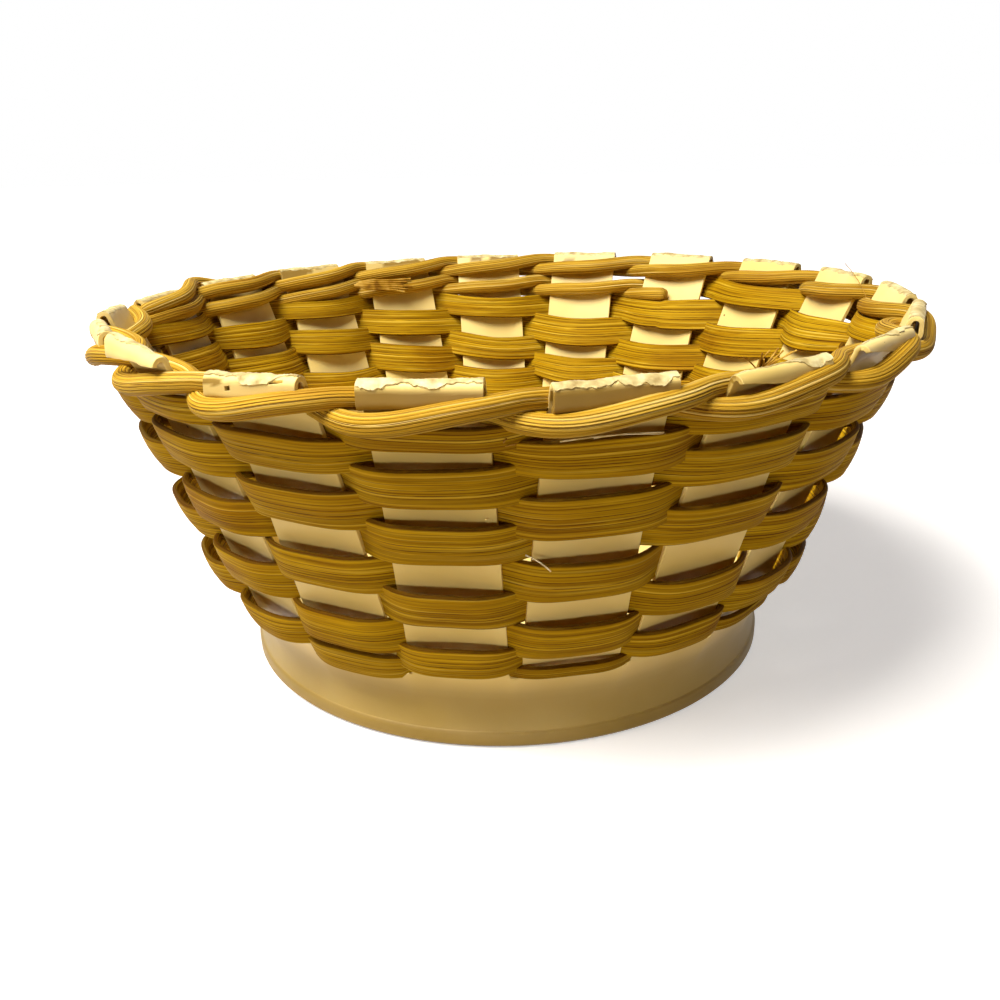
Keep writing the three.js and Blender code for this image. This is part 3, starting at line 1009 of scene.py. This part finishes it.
def fibre(name, places, radius, material):
    """A fine fibre through places given as strips round the basket, height and distance off the wall."""
    data = bpy.data.curves.new(name, "CURVE")
    data.dimensions = "3D"
    data.bevel_depth = radius * mm
    data.bevel_resolution = 1
    data.use_fill_caps = True
    spline = data.splines.new("NURBS")
    spline.points.add(len(places) - 1)
    for point, (place, height, off_wall) in zip(spline.points, places):
        radius_here = float(wall_radius(height) + off_wall + squeezed(place, height))
        angle = float(direction(place, height))
        point.co = (radius_here * math.cos(angle) * mm, radius_here * math.sin(angle) * mm, height * mm, 1)
    spline.order_u = 3
    spline.use_endpoint_u = True
    spline.resolution_u = 6
    piece = bpy.data.objects.new(name, data)
    bpy.context.collection.objects.link(piece)
    make_active(piece)
    bpy.ops.object.convert(target="MESH")
    return finish_piece(bpy.context.object, material, "flat_rattan")


def frayed_end(name, place, height, off_wall, count, length, seed):
    """A tuft of fibres where a strand end split."""
    middle_strip, tip_strip = 40, 36
    rng = np.random.default_rng(seed)
    for number in range(count):
        aside = rng.uniform(-1, 1)
        rise = rng.uniform(-0.3, 1)
        away = rng.uniform(-0.6, 0.6)
        bend = rng.uniform(-0.4, 0.4)
        root = (place, height, off_wall)
        middle = (
            place + (0.4 * aside + bend) * length / middle_strip,
            height + 0.5 * rise * length,
            off_wall + 0.6 * away * length,
        )
        tip = (place + aside * length / tip_strip, height + rise * length, off_wall + away * length)
        fibre(f"{name}_{number}", [root, middle, tip], rng.uniform(0.12, 0.24), gold_fibre)


def splintered_lap():
    """The border's lap at the back left, where one reed split into flat splinters."""
    for number in range(6):
        spread = number - 2.5
        fibre(f"splintered_lap_{number}", [
            (13.62 - 0.03 * abs(spread), 98.6 + 0.35 * spread, -5.4),
            (13.40, 98.4 + 0.75 * spread, -7.3 + 0.15 * abs(spread)),
            (13.20, 97.8 + 0.6 * spread, -7.1 + 0.2 * abs(spread)),
            (13.02 - 0.05 * (number % 3), 97.0 + 0.95 * spread, -6.8 + 0.3 * (number % 2)),
        ], 0.44, gold_fibre)


def moulded_pip(place, height):
    """A small round blister left on a strip by the mould."""
    deselect()
    bpy.ops.mesh.primitive_uv_sphere_add(segments=20, ring_count=10, radius=0.8 * mm)
    piece = bpy.context.object
    piece.name = "moulded_pip"
    _, up = wall_normal(height)
    angle = float(direction(place, height))
    off_middle = math.radians((place - round(place)) * strip_pitch)
    radius = (float(wall_radius(height)) + shell_thickness / 2) / math.cos(off_middle)
    piece.scale = (0.45, 1, 1)
    piece.rotation_euler = (0, -math.asin(float(up)), angle)
    piece.location = (radius * math.cos(angle) * mm, radius * math.sin(angle) * mm, height * mm)
    settle(piece)
    smooth(piece, 180)
    return piece


# The pieces, from the frame up
finish_piece(model_frame(), polypropylene, "moulded_plastic", "frame")
finish_piece(model_floor(), polypropylene, "moulded_plastic", "frame")
for strip in range(strip_count):
    finish_piece(model_crest(strip), melted_skin, "moulded_plastic")

# The lengths of flat rattan meet behind even strips, with a small gap between their cut ends
weaver_ends = [0, 34, 68, 102, 136, 170]
end_gap = 0.02
last_end = 181.33
for number, (start, end) in enumerate(zip(weaver_ends, weaver_ends[1:]), 1):
    weaver = flat_strand(f"flat_weaver_{number}", start + end_gap, end - end_gap, 100 * number)
    finish_piece(weaver, flat_rattan, "flat_rattan", f"weaver_{number}")
last_turn = flat_strand("flat_weaver_rim", weaver_ends[-1] + end_gap, last_end, 700)
finish_piece(last_turn, flat_rattan, "flat_rattan", "rim_weaver")

# The reeds run on a little past the last strip, the second one until it is tucked in
first_overrun, second_overrun, second_lead = 0.6, 1.42, 0.2
first_reed = round_strand("round_reed_1", border_start, border_end + first_overrun, border_start, 11)
finish_piece(first_reed, round_core, "round_reed", "border_reed_1")
second_reed = round_strand(
    "round_reed_2", border_start - second_lead, border_end + second_overrun, border_start + 1, 23
)
finish_piece(second_reed, round_core, "round_reed", "border_reed_2")

# Loose ends where the photo shows them: place, height, distance off the wall, count and length
frayed_end("frayed_reed_end", 3.95, 104.5, -2.6, 16, 5.0, 61)
frayed_end("frayed_band_edge", 2.42, 94.2, 4.0, 5, 3.2, 62)
frayed_end("frayed_left_edge", 0.62, 97.5, 4.6, 4, 3.4, 63)
splintered_lap()
lifted_fibres = (
    ([(2.72, 95.4, 5.6), (2.92, 96.6, 6.6), (3.12, 96.4, 6.4), (3.3, 95.2, 5.4)], 0.16),
    ([(2.9, 95.6, 5.4), (3.05, 96.8, 6.2), (3.28, 95.9, 6.0)], 0.13),
    ([(2.56, 64.6, 3.0), (2.66, 63.6, 5.0), (2.72, 61.4, 6.8)], 0.18),
)
for number, (route, radius) in enumerate(lifted_fibres, 1):
    fibre(f"lifted_fibre_{number}", route, radius, pale_fibre)
fibre("standing_hair", [(7.18, 102.5, -3.0), (7.5, 106.8, -2.6), (7.98, 110.8, -2.0)], 0.11, gold_fibre)
finish_piece(moulded_pip(2.32, 73.8), polypropylene, "moulded_plastic")


def background_rays(tree):
    """1 for the rays that show the white background: seen by the camera, mirrored or through glass."""
    path = add_node(tree, "ShaderNodeLightPath").outputs
    direct = add_node(
        tree, "ShaderNodeMath", {0: path["Is Camera Ray"], 1: path["Is Glossy Ray"]}, operation="MAXIMUM"
    )
    every = add_node(
        tree, "ShaderNodeMath", {0: direct.outputs[0], 1: path["Is Transmission Ray"]}, operation="MAXIMUM"
    )
    return every.outputs[0]


def model_stage():
    """Floor: white far away and for the camera, with the basket's shadow kept near it."""
    shadow_radius, white_radius = 0.25, 0.8
    near_glow = 0.5
    deselect()
    bpy.ops.mesh.primitive_plane_add(size=8, location=(0, 0, -0.0002))
    floor = bpy.context.object
    floor.name = "stage_floor"
    settle(floor)
    material, tree, shader = new_material("pale_studio_floor")
    seen = background_rays(tree)
    colour = add_node(
        tree, "ShaderNodeMix", {0: seen, 6: linear("#8E7C5C"), 7: linear("#F4F4F4")}, data_type="RGBA"
    )
    tree.links.new(colour.outputs[2], shader.inputs["Base Color"])
    place = add_node(tree, "ShaderNodeTexCoord").outputs["Object"]
    away = add_node(tree, "ShaderNodeVectorMath", {0: place}, operation="LENGTH")
    level = add_node(
        tree, "ShaderNodeMapRange",
        {0: away.outputs["Value"], 1: shadow_radius, 2: white_radius, 3: near_glow, 4: 1.0}, clamp=True,
    )
    glow = add_node(tree, "ShaderNodeMath", {0: seen, 1: level.outputs[0]}, operation="MULTIPLY")
    shader.inputs["Emission Color"].default_value = (1, 1, 1, 1)
    tree.links.new(glow.outputs[0], shader.inputs["Emission Strength"])
    shader.inputs["Roughness"].default_value = 0.9
    floor.data.materials.append(material)


def light_world():
    """White behind everything, and a weak warm light from all round on the basket."""
    around_strength = 0.06
    world = bpy.data.worlds.new("studio")
    bpy.context.scene.world = world
    world.use_nodes = True
    tree = world.node_tree
    background = tree.nodes["Background"]
    seen = background_rays(tree)
    strength = add_node(tree, "ShaderNodeMapRange", {0: seen, 3: around_strength, 4: 1.0})
    colour = add_node(
        tree, "ShaderNodeMix", {0: seen, 6: linear("#C87840"), 7: (1, 1, 1, 1)}, data_type="RGBA"
    )
    tree.links.new(colour.outputs[2], background.inputs["Color"])
    tree.links.new(strength.outputs[0], background.inputs["Strength"])


def lamp(name, place, target, wide, tall, power, colour, spread=180):
    data = bpy.data.lights.new(name, "AREA")
    data.shape = "RECTANGLE"
    data.size = wide
    data.size_y = tall
    data.energy = power
    data.spread = math.radians(spread)
    data.color = linear(colour)[:3]
    made = bpy.data.objects.new(name, data)
    bpy.context.collection.objects.link(made)
    made.location = place
    made.rotation_euler = (Vector(target) - Vector(place)).to_track_quat("-Z", "Y").to_euler()


def place_camera():
    """The photograph's camera: its place, the way it looks, and how far it was held askew."""
    place = (0, -0.3042, 0.1525)
    forward = Vector((-0.00464, 0.93778, -0.34719)).normalized()
    askew = math.radians(-1.38)
    level_right = forward.cross(Vector((0, 0, 1))).normalized()
    level_up = level_right.cross(forward)
    right = level_right * math.cos(askew) + level_up * math.sin(askew)
    upward = level_up * math.cos(askew) - level_right * math.sin(askew)
    turned = Matrix((right, upward, -forward)).transposed().to_4x4()
    data = bpy.data.cameras.new("camera")
    data.sensor_width = 36
    data.lens = 35.22
    camera = bpy.data.objects.new("camera", data)
    bpy.context.collection.objects.link(camera)
    camera.matrix_world = Matrix.Translation(place) @ turned
    bpy.context.scene.camera = camera


model_stage()
light_world()

# A broad lamp from above on the left, and two low flat ones that leave the pockets of the weave dark
lamp("overhead", (-0.29, -0.25, 0.76), (0, 0, 0.05), 0.45, 0.45, 14, "#FFFAF2")
lamp("front_fill", (-0.2, -0.86, 0.055), (0, 0, 0.02), 0.74, 0.09, 0.225, "#FFF6E4", 38)
lamp("back_fill", (0.2, 0.86, 0.055), (0, 0, 0.02), 0.74, 0.09, 0.16, "#FFF8E8", 38)
place_camera()
bpy.context.scene.view_settings.view_transform = "Standard"
